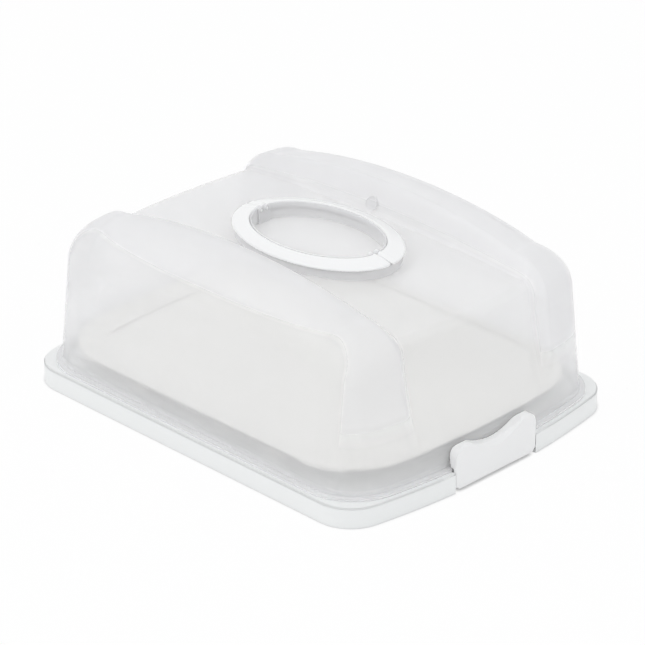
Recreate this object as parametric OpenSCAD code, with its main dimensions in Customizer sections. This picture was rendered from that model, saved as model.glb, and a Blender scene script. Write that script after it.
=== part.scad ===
// Cake carrier: a shallow tray, a lift-out serving plate on feet, and a domed lid
// hinged at one short end and latched at the other, with two folding bail handles.
// Millimetres. +X runs along the tray to the latch, +Z up, origin on the table at
// the middle of the tray.

/* [Tray] */
// Length of the tray over the middles of its bowed short ends
tray_length = 450; // [420:5:500]
// Width of the tray
tray_width = 344; // [330:2:380]
// Corner radius of the tray
tray_corner = 37; // [30:1:50]
// How far the middle of a short end stands out beyond its corners
end_bow = 19; // [10:1:26]
// Height of the tray's rim above the table
rim_height = 19.6; // [16:0.2:28]
// Thickness of the tray's skirt
skirt_wall = 2.2; // [1.8:0.1:3]
// Thickness of the tray's deck
deck_wall = 2.4; // [1.8:0.1:3]
// Radius of the bead round the tray's top outer edge
bead_radius = 1.5; // [1:0.1:1.8]
// Height of the low kerb that centres the lid
kerb_height = 2; // [1.4:0.2:2.4]
// Thickness of the stiffening ribs under the tray and the plate
rib_wall = 1.6; // [1.2:0.1:2.4]
// Ribs that run along under the tray, on each side of its middle
ribs_along = 2; // [1:1:4]
// Ribs that run across under the tray, on each side of its middle
ribs_across = 3; // [1:1:5]

/* [Lid] */
// Height of the lid's ridges above the table
lid_top = 180.5; // [160:0.5:200]
// Wall thickness of the lid
lid_wall = 2.2; // [1.8:0.1:2.6]
// Distance from the tray's outer edge in to the foot of the lid's wall
lid_inset = 10; // [9:0.5:12]
// Width of the lid's foot flange beyond the lid's wall
flange_width = 5.6; // [4.5:0.1:6.5]
// Thickness of the flange
flange_wall = 2.2; // [1.8:0.1:2.6]
// Plan corner radius at the foot of the lid
lid_foot_corner = 40; // [34:1:44]
// How far each end wall leans in between its foot and its shoulder
end_lean = 12; // [8:0.5:16]
// How far each side wall leans in between its foot and its shoulder
side_lean = 9.5; // [6:0.5:14]
// Radius of the rolled shoulder between the walls and the top
shoulder = 44; // [36:1:50]
// Squareness of the shoulder's corners in plan, where 2 is round
corner_power = 3.4; // [2:0.1:4.5]
// Fall of a ridge from its middle to its shoulder
ridge_fall = 17; // [6:0.5:18]
// Depth of the middle valley below the ridges
valley_depth = 29; // [22:0.5:36]
// Fall of the valley's floor from its middle to its end
valley_fall = 6.3; // [3:0.1:9]
// Width of the flat top of a ridge, between its slope and its shoulder
ridge_flat = 11.5; // [8:0.5:16]
// Run of the slope from the valley's floor up to a ridge
slope_run = 17; // [14:0.5:20]
// How far the valley's end panel is set back at its top
panel_setback = 14; // [8:0.5:18]
// Height on the end wall where the set-back begins
panel_foot = 40; // [30:1:60]
// Radius between the valley's end panel and its floor
panel_radius = 10; // [6:0.5:14]

/* [Serving plate] */
// Distance from the tray's end in to the plate's end
plate_end_margin = 20.5; // [19:0.5:28]
// Distance from the tray's side in to the plate's side
plate_side_margin = 16.5; // [15.5:0.5:24]
// Corner radius of the serving plate
plate_corner = 67; // [40:1:80]
// How far the middle of a plate's end stands out beyond its corners
plate_end_bow = 14; // [6:0.5:20]
// Height of the plate's edge above the table
plate_top = 40.2; // [34:0.2:50]
// Thickness of the plate's sheet
plate_wall = 2.4; // [2:0.1:3]
// Height of the plate's edge lip
plate_lip = 3.6; // [3:0.1:5]
// Width of the plain border at each end of the plate's well
plate_end_border = 30; // [20:1:45]
// Width of the plain border along each side of the well
plate_side_border = 9; // [6:0.5:16]
// Distance of each foot from the plate's middle, along the plate
foot_along = 89; // [60:1:120]
// Distance of each foot in from the plate's side
foot_edge = 16.5; // [14:0.5:30]
// Width of a foot of the plate
foot_width = 22; // [14:1:30]
// Thickness of a foot of the plate
foot_wall = 3; // [2:0.2:5]

/* [Handles] */
// Half length of the handle ring
ring_half_length = 93.3; // [85:0.1:98]
// Half width of the handle ring
ring_half_width = 62; // [56:0.5:66]
// Width of the ring's band at its ends
ring_end_band = 19.1; // [16:0.1:22]
// Width of the ring's band at its sides
ring_side_band = 13; // [11:0.1:15]
// Height of the ring's outer edge above its underside
ring_low = 2.2; // [1.6:0.1:3]
// Height of the ring's inner edge above its underside
ring_high = 6.8; // [6.8:0.1:9]
// Height of the lid's collar above the middle of the valley
collar_height = 7.8; // [6:0.1:10]
// Width of the collar
collar_width = 9; // [7:0.2:10]
// Thickness of the collar's rim inside the ring
collar_rim = 1.4; // [1.2:0.1:2]
// Radius of the rounded end of each bail, about its pivot
knuckle_radius = 3.4; // [3:0.1:3.6]
// Radius of the stub pins that the bails turn on
bail_pin = 1.7; // [1.4:0.1:2]
// Length of a stub pin
bail_pin_length = 5; // [4:0.2:7]

/* [Latch] */
// Width of the latch
latch_width = 104; // [90:1:112]
// Height of the latch's shoulders above the table
latch_top = 44; // [38:0.5:50]
// Depth of the finger scoop between the shoulders
latch_scoop = 10; // [6:0.5:14]
// Half width of the finger scoop
scoop_half = 35; // [24:0.5:36]
// Radius of the latch's upper corners
latch_shoulder = 13; // [10:0.5:15]
// Radius of the latch's lower corners
latch_heel = 8; // [5:0.5:9]
// Thickness of the latch's lower plate
latch_plate = 5.6; // [4.6:0.1:6]
// Radius of the latch's pivot roll
latch_roll = 4.3; // [3.8:0.1:4.6]
// Height of the latch's pivot above the table
latch_pivot = 6; // [5.2:0.1:8]
// Radius of the latch's stub pins
latch_pin = 2; // [1.6:0.1:2.4]

/* [Hinge] */
// Width of the whole hinge
hinge_width = 96; // [70:1:110]
// Radius of the hinge knuckles
hinge_knuckle = 4.2; // [3.6:0.1:4.4]
// Radius of the hinge pin
hinge_pin_radius = 1.6; // [1.2:0.1:2]

/* [Clearances] */
// Radial clearance of a pin in the bore that turns on it
running = 0.08; // [0.04:0.01:0.1]
// Gap between parts that pass or seat on each other
gap = 0.3; // [0.2:0.05:0.5]
// Gap between neighbouring hinge knuckles and beside the latch
side_gap = 0.6; // [0.4:0.1:1]

/* [Hidden] */
$fn = 96;
big = 1000;

// Tray outline: long straight sides, short ends that are arcs, round corners.
function arc_radius(width, rise) = (width * width / 4 + rise * rise) / (2 * rise);
end_arc = arc_radius(tray_width, end_bow);
end_centre = tray_length / 2 - end_arc;
corner_y = tray_width / 2 - tray_corner;
corner_x = end_centre + sqrt(pow(end_arc - tray_corner, 2) - pow(corner_y, 2));
corner_turn = atan2(corner_y, corner_x - end_centre);

bead_rise = 0.6;
kerb_skin = lid_wall + 4 * gap;

// How far a short end falls back from its middle at distance y from the middle.
function bow(y) = end_arc - sqrt(pow(end_arc, 2) - y * y);

// Lid: foot, walls, shoulders, ridges and valley.
foot_z = rim_height + gap;
wall_z = foot_z + flange_wall;
foot_half = [tray_length / 2 - lid_inset, tray_width / 2 - lid_inset];
foot_core = foot_half - [lid_foot_corner, lid_foot_corner];
core = foot_half - [end_lean + shoulder, side_lean + shoulder];
crest_y = core[1] - ridge_flat;
valley_half = crest_y - slope_run;
valley_z = lid_top - valley_depth;
panel_top = valley_z - valley_fall - panel_radius;
valley_core = foot_half[0] - end_lean - panel_setback - panel_radius;

// Hinge at the far short end, on top of the rim.
hinge_x = -(tray_length / 2 - lid_inset + hinge_knuckle + 0.4);
hinge_z = foot_z + hinge_knuckle + 0.5;
hinge_share = hinge_width / 5;

// Latch at the near short end.
latch_x = tray_length / 2 - latch_roll;
latch_under = wall_z + 2 * gap;
notch_x = latch_x - latch_roll - 1.5 * gap;
notch_half = latch_width / 2 + side_gap;
latch_head_x = (tray_length / 2 + foot_half[0] - end_lean * latch_top / lid_top) / 2;
boss_length = 6;

// Serving plate.
plate_length = tray_length - 2 * plate_end_margin;
plate_width = tray_width - 2 * plate_side_margin;
foot_across = plate_width / 2 - foot_edge;

// Bails: two half rings that turn on pins beside the long axis.
ring_outer = [ring_half_length, ring_half_width];
ring_inner = ring_outer - [ring_end_band, ring_side_band];
collar_z = valley_z + collar_height;
ring_z = collar_z + gap;
bail_z = ring_z + knuckle_radius;
bail_y = knuckle_radius + gap;
bracket_half = bail_y + knuckle_radius;
bracket_end = ring_inner[0] * sqrt(1 - pow(bracket_half / ring_inner[1], 2)) - gap;
bracket_x = [ring_inner[0] - bail_pin_length, bracket_end];
collar_inset = 2.5;
collar_foot = valley_z - valley_fall * pow(ring_outer[0] / valley_core, 2) - lid_wall / 2;
rim_gap = 0.8;

// Round boss that the moulding leaves on the lid.
gate_x = -13.5;
gate_y = valley_half + 4.6;
gate_turn = 64;
gate_radius = 7;
gate_wall = 1.5;

// ---------------------------------------------------------------- outlines

// An outline with straight sides, ends that are arcs, and corners that meet both smoothly.
module bowed_outline(length, width, arc, corner) {
    centre = length / 2 - arc;
    core_y = width / 2 - corner;
    core_x = centre + sqrt(pow(arc - corner, 2) - core_y * core_y);
    tangent_y = arc * sin(atan2(core_y, core_x - centre));
    union() {
        square([2 * core_x, width], center = true);
        intersection() {
            translate([centre, 0]) circle(arc, $fn = 720);
            translate([-centre, 0]) circle(arc, $fn = 720);
            square([length, 2 * tangent_y], center = true);
        }
        for (x = [-core_x, core_x], y = [-core_y, core_y])
            translate([x, y]) circle(corner);
    }
}

// The tray's outline, moved in by inset.
module tray_outline(inset = 0) {
    bowed_outline(tray_length - 2 * inset, tray_width - 2 * inset, end_arc - inset, tray_corner - inset);
}

// Sweeps a profile along the whole outline. The profile is drawn with the distance
// in from the outline along X and the height along Y.
module rim_sweep() {
    for (side = [0, 1]) rotate([0, 0, 180 * side]) {
        translate([corner_x, -tray_width / 2, 0]) rotate([90, 0, -90]) mirror([1, 0, 0])
            linear_extrude(2 * corner_x) children();
        translate([end_centre, 0, 0]) rotate([0, 0, -corner_turn])
            rotate_extrude(angle = 2 * corner_turn, $fn = 720)
                translate([end_arc, 0]) mirror([1, 0, 0]) children();
        for (y = [0, 1]) mirror([0, y, 0]) translate([corner_x, corner_y, 0])
            rotate([0, 0, corner_turn])
                rotate_extrude(angle = 90 - corner_turn)
                    translate([tray_corner, 0]) mirror([1, 0, 0]) children();
    }
}

function ellipse(half, from, to, steps) =
    [for (i = [0:steps]) let (t = from + (to - from) * i / steps) [half[0] * cos(t), half[1] * sin(t)]];

// ---------------------------------------------------------------- tray

// A band of the tray between two insets of its outline.
module tray_band(from_inset, to_inset, low, high) {
    translate([0, 0, low]) linear_extrude(high - low) difference() {
        tray_outline(from_inset);
        tray_outline(to_inset);
    }
}

// Section of the rolled bead along the top outer edge.
module bead_section() {
    r = bead_radius;
    crown = rim_height + bead_rise;
    polygon(concat([[2 * r, rim_height - r], [0, rim_height - 2 * r]],
        [for (t = [180:-18:0]) [r + r * cos(t), crown - r + r * sin(t)]]));
}

// The low kerb that centres the lid, parallel to the foot of the lid's wall.
module kerb() {
    translate([0, 0, rim_height - deck_wall / 2]) linear_extrude(kerb_height + deck_wall / 2) difference() {
        polygon(foot_ring(kerb_skin));
        polygon(foot_ring(kerb_skin + rib_wall));
    }
}

module tray_rib_grid() {
    rib_top = rim_height - deck_wall / 2;
    rib_bottom = rim_height / 3;
    intersection() {
        translate([0, 0, rib_bottom]) linear_extrude(rib_top - rib_bottom) tray_outline(skirt_wall / 2);
        union() {
            for (i = [-ribs_along:ribs_along])
                translate([-big / 2, i * tray_width / (2 * ribs_along + 2) - rib_wall / 2, 0])
                    cube([big / 2 + notch_x - rib_wall, rib_wall, rim_height]);
            for (i = [-ribs_across:ribs_across])
                translate([i * tray_length / (2 * ribs_across + 2) - rib_wall / 2, -big / 2, 0])
                    cube([rib_wall, big, rim_height]);
        }
    }
}

// Places its children at each knuckle that belongs to the tray (0) or the lid (1).
module hinge_knuckles(owner) {
    for (i = [0:4]) if (i % 2 == owner)
        translate([hinge_x, (i - 2.5) * hinge_share + side_gap / 2, hinge_z])
            rotate([-90, 0, 0]) cylinder(r = hinge_knuckle, h = hinge_share - side_gap);
}

module tray_hinge() {
    hinge_knuckles(0);
    for (i = [0, 2, 4])
        translate([hinge_x - hinge_knuckle, (i - 2.5) * hinge_share + side_gap / 2, rim_height - 1])
            cube([2 * hinge_knuckle, hinge_share - side_gap, hinge_z - rim_height + 1]);
}

module latch_boss_blocks() {
    reach = tray_length / 2 - bow(notch_half + boss_length) - 0.4;
    for (y = [-notch_half - boss_length, notch_half])
        translate([notch_x - rib_wall, y, 0])
            cube([reach - notch_x + rib_wall, boss_length, rim_height - deck_wall / 2]);
}

module base_tray() {
    color("whitesmoke") difference() {
        union() {
            tray_band(0, skirt_wall, 0, rim_height - bead_radius);
            rim_sweep() bead_section();
            translate([0, 0, rim_height - deck_wall]) linear_extrude(deck_wall) tray_outline(skirt_wall / 2);
            kerb();
            tray_rib_grid();
            tray_hinge();
            latch_boss_blocks();
            translate([notch_x - rib_wall, -notch_half - boss_length, 0])
                cube([rib_wall, 2 * (notch_half + boss_length), rim_height - deck_wall / 2]);
        }
        translate([notch_x, -notch_half, -1]) cube([big, 2 * notch_half, rim_height + 10]);
        translate([latch_x, 0, latch_pivot]) rotate([90, 0, 0])
            cylinder(r = latch_pin + running, h = 2 * (notch_half + boss_length - 1), center = true);
        translate([hinge_x, 0, hinge_z]) rotate([90, 0, 0])
            cylinder(r = hinge_pin_radius, h = hinge_width + 10, center = true);
    }
}

// ---------------------------------------------------------------- serving plate

module serving_plate() {
    sheet_z = plate_top - plate_lip;
    arc = arc_radius(plate_width, plate_end_bow);
    well_length = plate_length - 2 * plate_end_border;
    well_width = plate_width - 2 * plate_side_border;
    rib_drop = 6;
    color("ivory") union() {
        difference() {
            translate([0, 0, sheet_z]) linear_extrude(plate_lip)
                bowed_outline(plate_length, plate_width, arc, plate_corner);
            translate([0, 0, sheet_z + plate_wall]) linear_extrude(plate_lip)
                bowed_outline(well_length, well_width, arc, plate_corner - plate_side_border);
        }
        for (x = [-foot_along, foot_along], y = [-foot_across, foot_across])
            translate([x - foot_width / 2, y - foot_wall / 2, rim_height + gap])
                cube([foot_width, foot_wall, sheet_z - rim_height]);
        for (x = [-foot_along, foot_along])
            translate([x - rib_wall / 2, -foot_across, sheet_z - rib_drop])
                cube([rib_wall, 2 * foot_across, rib_drop + plate_wall / 2]);
        for (y = [-foot_across / 2, foot_across / 2])
            translate([-foot_along, y - rib_wall / 2, sheet_z - rib_drop])
                cube([2 * foot_along, rib_wall, rib_drop + plate_wall / 2]);
    }
}

// ---------------------------------------------------------------- lid

// Turns of the rolled shoulder, as the sines of its angles.
roll_steps = 6;
roll = [for (i = [1:roll_steps]) sin(90 * i / roll_steps)];

// Half stations across the lid: [core distance, share of the roll].
across_flat = [0, 0.35 * valley_half, 0.7 * valley_half, 0.92 * valley_half,
    for (i = [0:7]) valley_half + slope_run * i / 7, (crest_y + core[1]) / 2, core[1]];
across = [for (y = across_flat) [y, 0], for (b = roll) [core[1], b]];
// Half stations along the lid.
along_flat = [for (i = [0:5]) core[0] * i / 5];
along = [for (x = along_flat) [x, 0], for (a = roll) [core[0], a]];
last_x = len(along) - 1;
last_y = len(across) - 1;

function smooth(t) = let (c = min(1, max(0, t))) c * c * (3 - 2 * c);
// Share of the ridge, from 0 in the valley to 1 on the ridge.
function ridge_share(y, skin) = pow(smooth((abs(y) - valley_half - skin) / slope_run), 0.75);
function ridge_z(x) = lid_top - ridge_fall * pow(x / core[0], 2);
function floor_z(x) = valley_z - valley_fall * pow(x / valley_core, 2);
// A square share pair (a, b) bent onto a round corner; power 2 is a circle, more is squarer.
function round_corner(a, b, power) = let (
    u = a * sqrt(1 - b * b / 2),
    v = b * sqrt(1 - a * a / 2),
    turn = atan2(v, u),
    push = 1 / pow(pow(abs(cos(turn)), power) + pow(abs(sin(turn)), power), 1 / power))
    [u * push, v * push];

// A point of the ridge form for stations a (along) and b (across), skin in from the outside.
function ridge_point(a, b, skin) = let (
    r = shoulder - skin,
    out = round_corner(a[1], b[1], corner_power),
    up = sqrt((1 - a[1] * a[1]) * (1 - b[1] * b[1])))
    [a[0] + r * out[0], b[0] + r * out[1], ridge_z(a[0]) - shoulder + r * up];

// The same station on the valley's own section: floor, round, end panel.
function valley_point(i, b, skin) = let (
    turn = 84 * max(0, i - (last_x - 4)) / 4,
    near = along[min(i, last_x - roll_steps)][0],
    reach = i <= last_x - roll_steps ? near
        : core[0] + (valley_core - core[0]) * min(2, i - (last_x - roll_steps)) / 2)
    [reach + (panel_radius - skin) * sin(turn), b[0],
     floor_z(reach) - panel_radius + (panel_radius - skin) * cos(turn)];

function mix(p, q, t) = p * (1 - t) + q * t;

// A point of the top: i along and j across, both counted from the middle.
function top_point(i, j, skin) = let (
    b = across[j], a = along[i],
    share = ridge_share(b[0], skin),
    p = mix(valley_point(i, b, skin), ridge_point(a, b, skin), share),
    bend = bow(p[1]) * pow(min(1, a[0] / core[0]), 2))
    [p[0] - bend, p[1], p[2]];

// Heights of the rings down the walls, as shares of the way from the foot to the shoulder.
wall_levels = [0, 0.14, 0.32, 0.5, 0.68, 0.84];

// A point of the wall below the edge station (i, j), at share h of the height.
function wall_point(i, j, h, skin) = let (
    a = along[i], b = across[j],
    top = top_point(i, j, skin),
    r = lid_foot_corner - skin,
    out = round_corner(a[1], b[1], 2),
    spread = min(1, max(0, (b[0] - crest_y) / (core[1] - crest_y))),
    foot_y = b[0] + (foot_core[1] - core[1]) * spread + r * out[1],
    foot_x = a[0] * foot_core[0] / core[0] + r * out[0],
    foot = [foot_x - bow(foot_y) * pow(min(1, a[0] / core[0]), 2), foot_y, wall_z],
    share = i == last_x ? ridge_share(b[0], skin) : 1,
    z = wall_z + (top[2] - wall_z) * h,
    full = panel_setback,
    set_back = full * sin(90 * min(1, max(0, (z - panel_foot) / (panel_top - panel_foot)))),
    p = mix(foot, top + [full * (1 - share), 0, 0], h))
    [p[0] - set_back * (1 - share), p[1], z];

// Signed grid indices: -last .. last from one side to the other.
function signed(p, si, sj) = [p[0] * si, p[1] * sj, p[2]];
function sgn(k) = k < 0 ? -1 : 1;
function top_at(i, j, skin) = signed(top_point(abs(i), abs(j), skin), sgn(i), sgn(j));
function wall_at(e, h, skin) = signed(wall_point(abs(e[0]), abs(e[1]), h, skin), sgn(e[0]), sgn(e[1]));

// The edge of the grid, anticlockwise from above.
edge = [
    for (j = [-last_y:last_y - 1]) [last_x, j],
    for (i = [last_x:-1:-last_x + 1]) [i, last_y],
    for (j = [last_y:-1:-last_y + 1]) [-last_x, j],
    for (i = [-last_x:last_x - 1]) [i, -last_y]];
around = len(edge);
rows = 2 * last_y + 1;
function cell(i, j) = (i + last_x) * rows + j + last_y;

// The outline of the wall's foot, skin in from its outside.
function foot_ring(skin) = [for (e = edge) let (p = wall_at(e, 0, skin)) [p[0], p[1]]];
function raised(ring, z) = [for (p = ring) [p[0], p[1], z]];

module lid_shell() {
    grid = (2 * last_x + 1) * rows;
    levels = len(wall_levels);
    outer_top = [for (i = [-last_x:last_x], j = [-last_y:last_y]) top_at(i, j, 0)];
    inner_top = [for (i = [-last_x:last_x], j = [-last_y:last_y]) top_at(i, j, lid_wall)];
    outer_wall = [for (k = [levels - 1:-1:0], e = edge) wall_at(e, wall_levels[k], 0)];
    flange_edge = foot_ring(-flange_width);
    flange = concat(raised(flange_edge, wall_z), raised(flange_edge, foot_z));
    inner_foot = raised(foot_ring(lid_wall), foot_z);
    inner_wall = [for (k = [0:levels - 1], e = edge) wall_at(e, wall_levels[k], lid_wall)];
    rings = 2 * levels + 3;
    first_ring = grid;
    last_top = grid + rings * around;
    function ring(k, n) = first_ring + k * around + n % around;
    function outer_edge(n) = cell(edge[n % around][0], edge[n % around][1]);
    function inner_edge(n) = last_top + outer_edge(n);
    faces = concat(
        [for (i = [-last_x:last_x - 1], j = [-last_y:last_y - 1])
            each [[cell(i, j), cell(i, j + 1), cell(i + 1, j + 1)], [cell(i, j), cell(i + 1, j + 1), cell(i + 1, j)]]],
        [for (n = [0:around - 1])
            each [[outer_edge(n), outer_edge(n + 1), ring(0, n + 1)], [outer_edge(n), ring(0, n + 1), ring(0, n)]]],
        [for (k = [0:rings - 2], n = [0:around - 1])
            each [[ring(k, n), ring(k, n + 1), ring(k + 1, n + 1)], [ring(k, n), ring(k + 1, n + 1), ring(k + 1, n)]]],
        [for (n = [0:around - 1])
            each [[ring(rings - 1, n), ring(rings - 1, n + 1), inner_edge(n + 1)],
                  [ring(rings - 1, n), inner_edge(n + 1), inner_edge(n)]]],
        [for (i = [-last_x:last_x - 1], j = [-last_y:last_y - 1])
            each [[last_top + cell(i, j), last_top + cell(i + 1, j + 1), last_top + cell(i, j + 1)],
                  [last_top + cell(i, j), last_top + cell(i + 1, j), last_top + cell(i + 1, j + 1)]]]);
    polyhedron(concat(outer_top, outer_wall, flange, inner_foot, inner_wall, inner_top), faces);
}

// An oval ring of the lid between two ovals, from low to high.
module oval_band(outer, inner, low, high) {
    translate([0, 0, low]) linear_extrude(high - low) difference() {
        polygon(ellipse(outer, 0, 360, 72));
        polygon(ellipse(inner, 0, 360, 72));
    }
}

// The oval collar that the handle ring rests on, with a rim that stands inside the ring.
module collar() {
    seat_outer = ring_outer - [collar_inset, collar_inset];
    seat_inner = seat_outer - [collar_width, collar_width];
    rim_outer = ring_inner - [rim_gap, rim_gap];
    rim_inner = rim_outer - [collar_rim, collar_rim];
    oval_band(seat_outer, seat_inner, collar_foot, collar_z);
    oval_band(seat_inner + [1, 1], rim_inner, collar_z - lid_wall, collar_z);
    oval_band(rim_outer, rim_inner, collar_foot, ring_z + ring_high - rim_gap);
}

// A bracket at each end of the ring holds the stub pins of both bails.
module bail_brackets() {
    for (turn = [0, 180]) rotate([0, 0, turn]) {
        for (y = [-bail_y, bail_y])
            translate([bracket_x[0], y, bail_z]) rotate([0, 90, 0])
                cylinder(r = knuckle_radius, h = bracket_x[1] - bracket_x[0]);
        translate([bracket_x[0], -bracket_half, collar_foot])
            cube([bracket_x[1] - bracket_x[0], 2 * bracket_half, bail_z - collar_foot]);
    }
}

module bail_bores() {
    for (turn = [0, 180], y = [-bail_y, bail_y]) rotate([0, 0, turn])
        translate([bracket_x[0] - 1, y, bail_z]) rotate([0, 90, 0])
            cylinder(r = bail_pin + running, h = bracket_x[1] - bracket_x[0] + 2, $fn = 48);
}

// The moulding gate's round boss, dished at its top, on the slope of the rear ridge.
module gate_boss() {
    dish = 0.7;
    surface_z = valley_z + valley_depth * ridge_share(gate_y, 0);
    translate([gate_x, gate_y, surface_z]) rotate([gate_turn, 0, 0]) difference() {
        translate([0, 0, -gate_wall]) cylinder(r = gate_radius, h = 2 * gate_wall, $fn = 48);
        translate([0, 0, gate_wall - dish]) cylinder(r = gate_radius - gate_wall, h = 2 * dish, $fn = 48);
    }
}

module lid_hinge() {
    hinge_knuckles(1);
    for (i = [1, 3])
        translate([hinge_x, (i - 2.5) * hinge_share + side_gap / 2, hinge_z - hinge_knuckle / 2])
            cube([-hinge_x - foot_half[0] + lid_wall * 0.8, hinge_share - side_gap, hinge_knuckle * 1.2]);
}

// Room cut in the flange for the hinge's knuckles and for the latch's plate.
module flange_cuts() {
    translate([-big - foot_half[0] - 0.1, -hinge_width / 2 - side_gap, 0])
        cube([big, hinge_width + 2 * side_gap, wall_z + gap]);
    intersection() {
        translate([0, -notch_half, 0]) cube([big, 2 * notch_half, wall_z + gap]);
        translate([end_centre, 0, 0]) difference() {
            cylinder(r = end_arc + 20, h = rim_height * 2, $fn = 720);
            cylinder(r = end_arc - latch_plate - 0.8, h = big, center = true, $fn = 720);
        }
    }
}

module lid() {
    color([0.9, 0.93, 0.95, 0.6]) difference() {
        union() {
            difference() {
                lid_shell();
                flange_cuts();
            }
            collar();
            bail_brackets();
            gate_boss();
            lid_hinge();
        }
        bail_bores();
        translate([hinge_x, 0, hinge_z]) rotate([90, 0, 0])
            cylinder(r = hinge_pin_radius + running, h = hinge_width, center = true, $fn = 48);
    }
}

// ---------------------------------------------------------------- hinge pin

module hinge_pin() {
    color("silver") translate([hinge_x, 0, hinge_z]) rotate([90, 0, 0])
        cylinder(r = hinge_pin_radius, h = hinge_width - side_gap, center = true, $fn = 48);
}

// ---------------------------------------------------------------- latch

// Section of the latch at its middle: pivot roll, plate, and a head that hooks over the flange.
module latch_section() {
    outer = tray_length / 2;
    head_foot = foot_half[0] + 3 * gap;
    head_lean = end_lean * (latch_top - latch_under) / (panel_top - wall_z);
    head_round = (outer - head_foot + head_lean) / 2;
    translate([latch_x, latch_pivot]) circle(latch_roll, $fn = 64);
    translate([outer - latch_plate, latch_pivot]) square([latch_plate, latch_under - latch_pivot + 1]);
    polygon([[head_foot, latch_under], [outer, latch_under], [outer, latch_top - head_round],
             [outer - 2 * head_round, latch_top - head_round]]);
    translate([outer - head_round, latch_top - head_round]) circle(head_round, $fn = 64);
}

// The latch seen from its end, with rounded corners.
module latch_face() {
    half = latch_width / 2;
    low = latch_pivot - latch_roll;
    translate([-half, low + latch_heel])
        square([2 * half, latch_top - low - latch_heel - latch_shoulder]);
    translate([-half + latch_heel, low]) square([2 * (half - latch_heel), 2 * latch_heel]);
    translate([-half + latch_shoulder, latch_top - 2 * latch_shoulder])
        square([2 * (half - latch_shoulder), 2 * latch_shoulder]);
    for (y = [-1, 1]) {
        translate([y * (half - latch_shoulder), latch_top - latch_shoulder]) circle(latch_shoulder);
        translate([y * (half - latch_heel), low + latch_heel]) circle(latch_heel);
    }
}

// The scoop for the fingers: a round cut across the head, tipped forward by turn about
// the line that lies reach out from the middle of the head.
module latch_scoop_cut(turn, reach) {
    seam_turn = 170;
    radius = (scoop_half * scoop_half + latch_scoop * latch_scoop) / (2 * latch_scoop) - 2 * reach;
    translate([latch_head_x + reach, 0, latch_top - latch_scoop]) rotate([0, turn, 0])
        translate([-latch_top, 0, radius]) rotate([0, 90, 0]) rotate([0, 0, seam_turn])
            cylinder(r = radius, h = 2 * latch_top, $fn = 180);
}

module latch_plate_and_head() {
    intersection() {
        translate([0, latch_width / 2, 0]) rotate([90, 0, 0]) linear_extrude(latch_width) latch_section();
        translate([end_centre, 0, 0]) cylinder(r = end_arc, h = 2 * latch_top, $fn = 720);
        translate([notch_x - latch_top, 0, 0]) rotate([90, 0, 90]) linear_extrude(2 * latch_top) latch_face();
    }
}

module end_latch() {
    crown = 1.6;
    color("white") difference() {
        difference() {
            union() {
                latch_plate_and_head();
                translate([latch_x, 0, latch_pivot]) rotate([90, 0, 0])
                    cylinder(r = latch_pin, h = 2 * (notch_half + boss_length - 2), center = true, $fn = 48);
            }
            latch_scoop_cut(0, 0);
        }
        latch_scoop_cut(38, crown);
    }
}

// ---------------------------------------------------------------- handles

// Section of a bail: share of the way in from the outer edge, and height above its underside.
function bail_height(share) = ring_low + (ring_high - ring_low) * share;
bail_section = [[0, 0], [0, bail_height(0) - 0.8], [0.05, bail_height(0.02)], [0.35, bail_height(0.35)],
    [0.7, bail_height(0.7)], [0.9, bail_height(0.9) - 0.1], [0.97, bail_height(0.97) - 0.5],
    [1, bail_height(1) - 1.4], [1, 0.5], [0.96, 0]];
bail_steps = 40;

// The front half of the handle ring, lofted between the two edge ovals.
module bail_band() {
    turn_outer = asin(bail_y / ring_outer[1]);
    turn_inner = asin(bail_y / ring_inner[1]);
    outer = ellipse(ring_outer, 180 + turn_outer, 360 - turn_outer, bail_steps);
    inner = ellipse(ring_inner, 180 + turn_inner, 360 - turn_inner, bail_steps);
    count = len(bail_section);
    points = [for (k = [0:bail_steps], s = bail_section)
        let (p = outer[k] * (1 - s[0]) + inner[k] * s[0]) [p[0], p[1], ring_z + s[1]]];
    faces = concat(
        [[for (n = [count - 1:-1:0]) n]],
        [[for (n = [0:count - 1]) bail_steps * count + n]],
        [for (k = [0:bail_steps - 1], n = [0:count - 1])
            let (a = k * count + n, b = k * count + (n + 1) % count)
            each [[a, b, a + count], [b, b + count, a + count]]]);
    polyhedron(points, faces);
}

module bail() {
    band_bottom = ring_z - 1;
    bail_band();
    for (side = [0, 1]) mirror([side, 0, 0]) {
        intersection() {
            translate([ring_inner[0], -bail_y, bail_z]) rotate([0, 90, 0])
                cylinder(r = knuckle_radius, h = ring_outer[0] - ring_inner[0] - gap, $fn = 64);
            translate([0, knuckle_radius, 0]) rotate([90, 0, 0]) linear_extrude(4 * knuckle_radius)
                polygon([[ring_inner[0], band_bottom], [ring_outer[0], band_bottom],
                         [ring_outer[0], ring_z + ring_low], [ring_inner[0], ring_z + ring_high]]);
        }
        translate([ring_inner[0] - bail_pin_length + gap, -bail_y, bail_z]) rotate([0, 90, 0])
            cylinder(r = bail_pin, h = bail_pin_length + 2, $fn = 48);
    }
}

module handle_front() {
    color("white") bail();
}

module handle_rear() {
    color("white") mirror([0, 1, 0]) bail();
}

base_tray();
serving_plate();
lid();
hinge_pin();
end_latch();
handle_front();
handle_rear();
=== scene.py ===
"""Dresses the cake carrier's construction model with its moulded plastic looks."""

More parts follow.
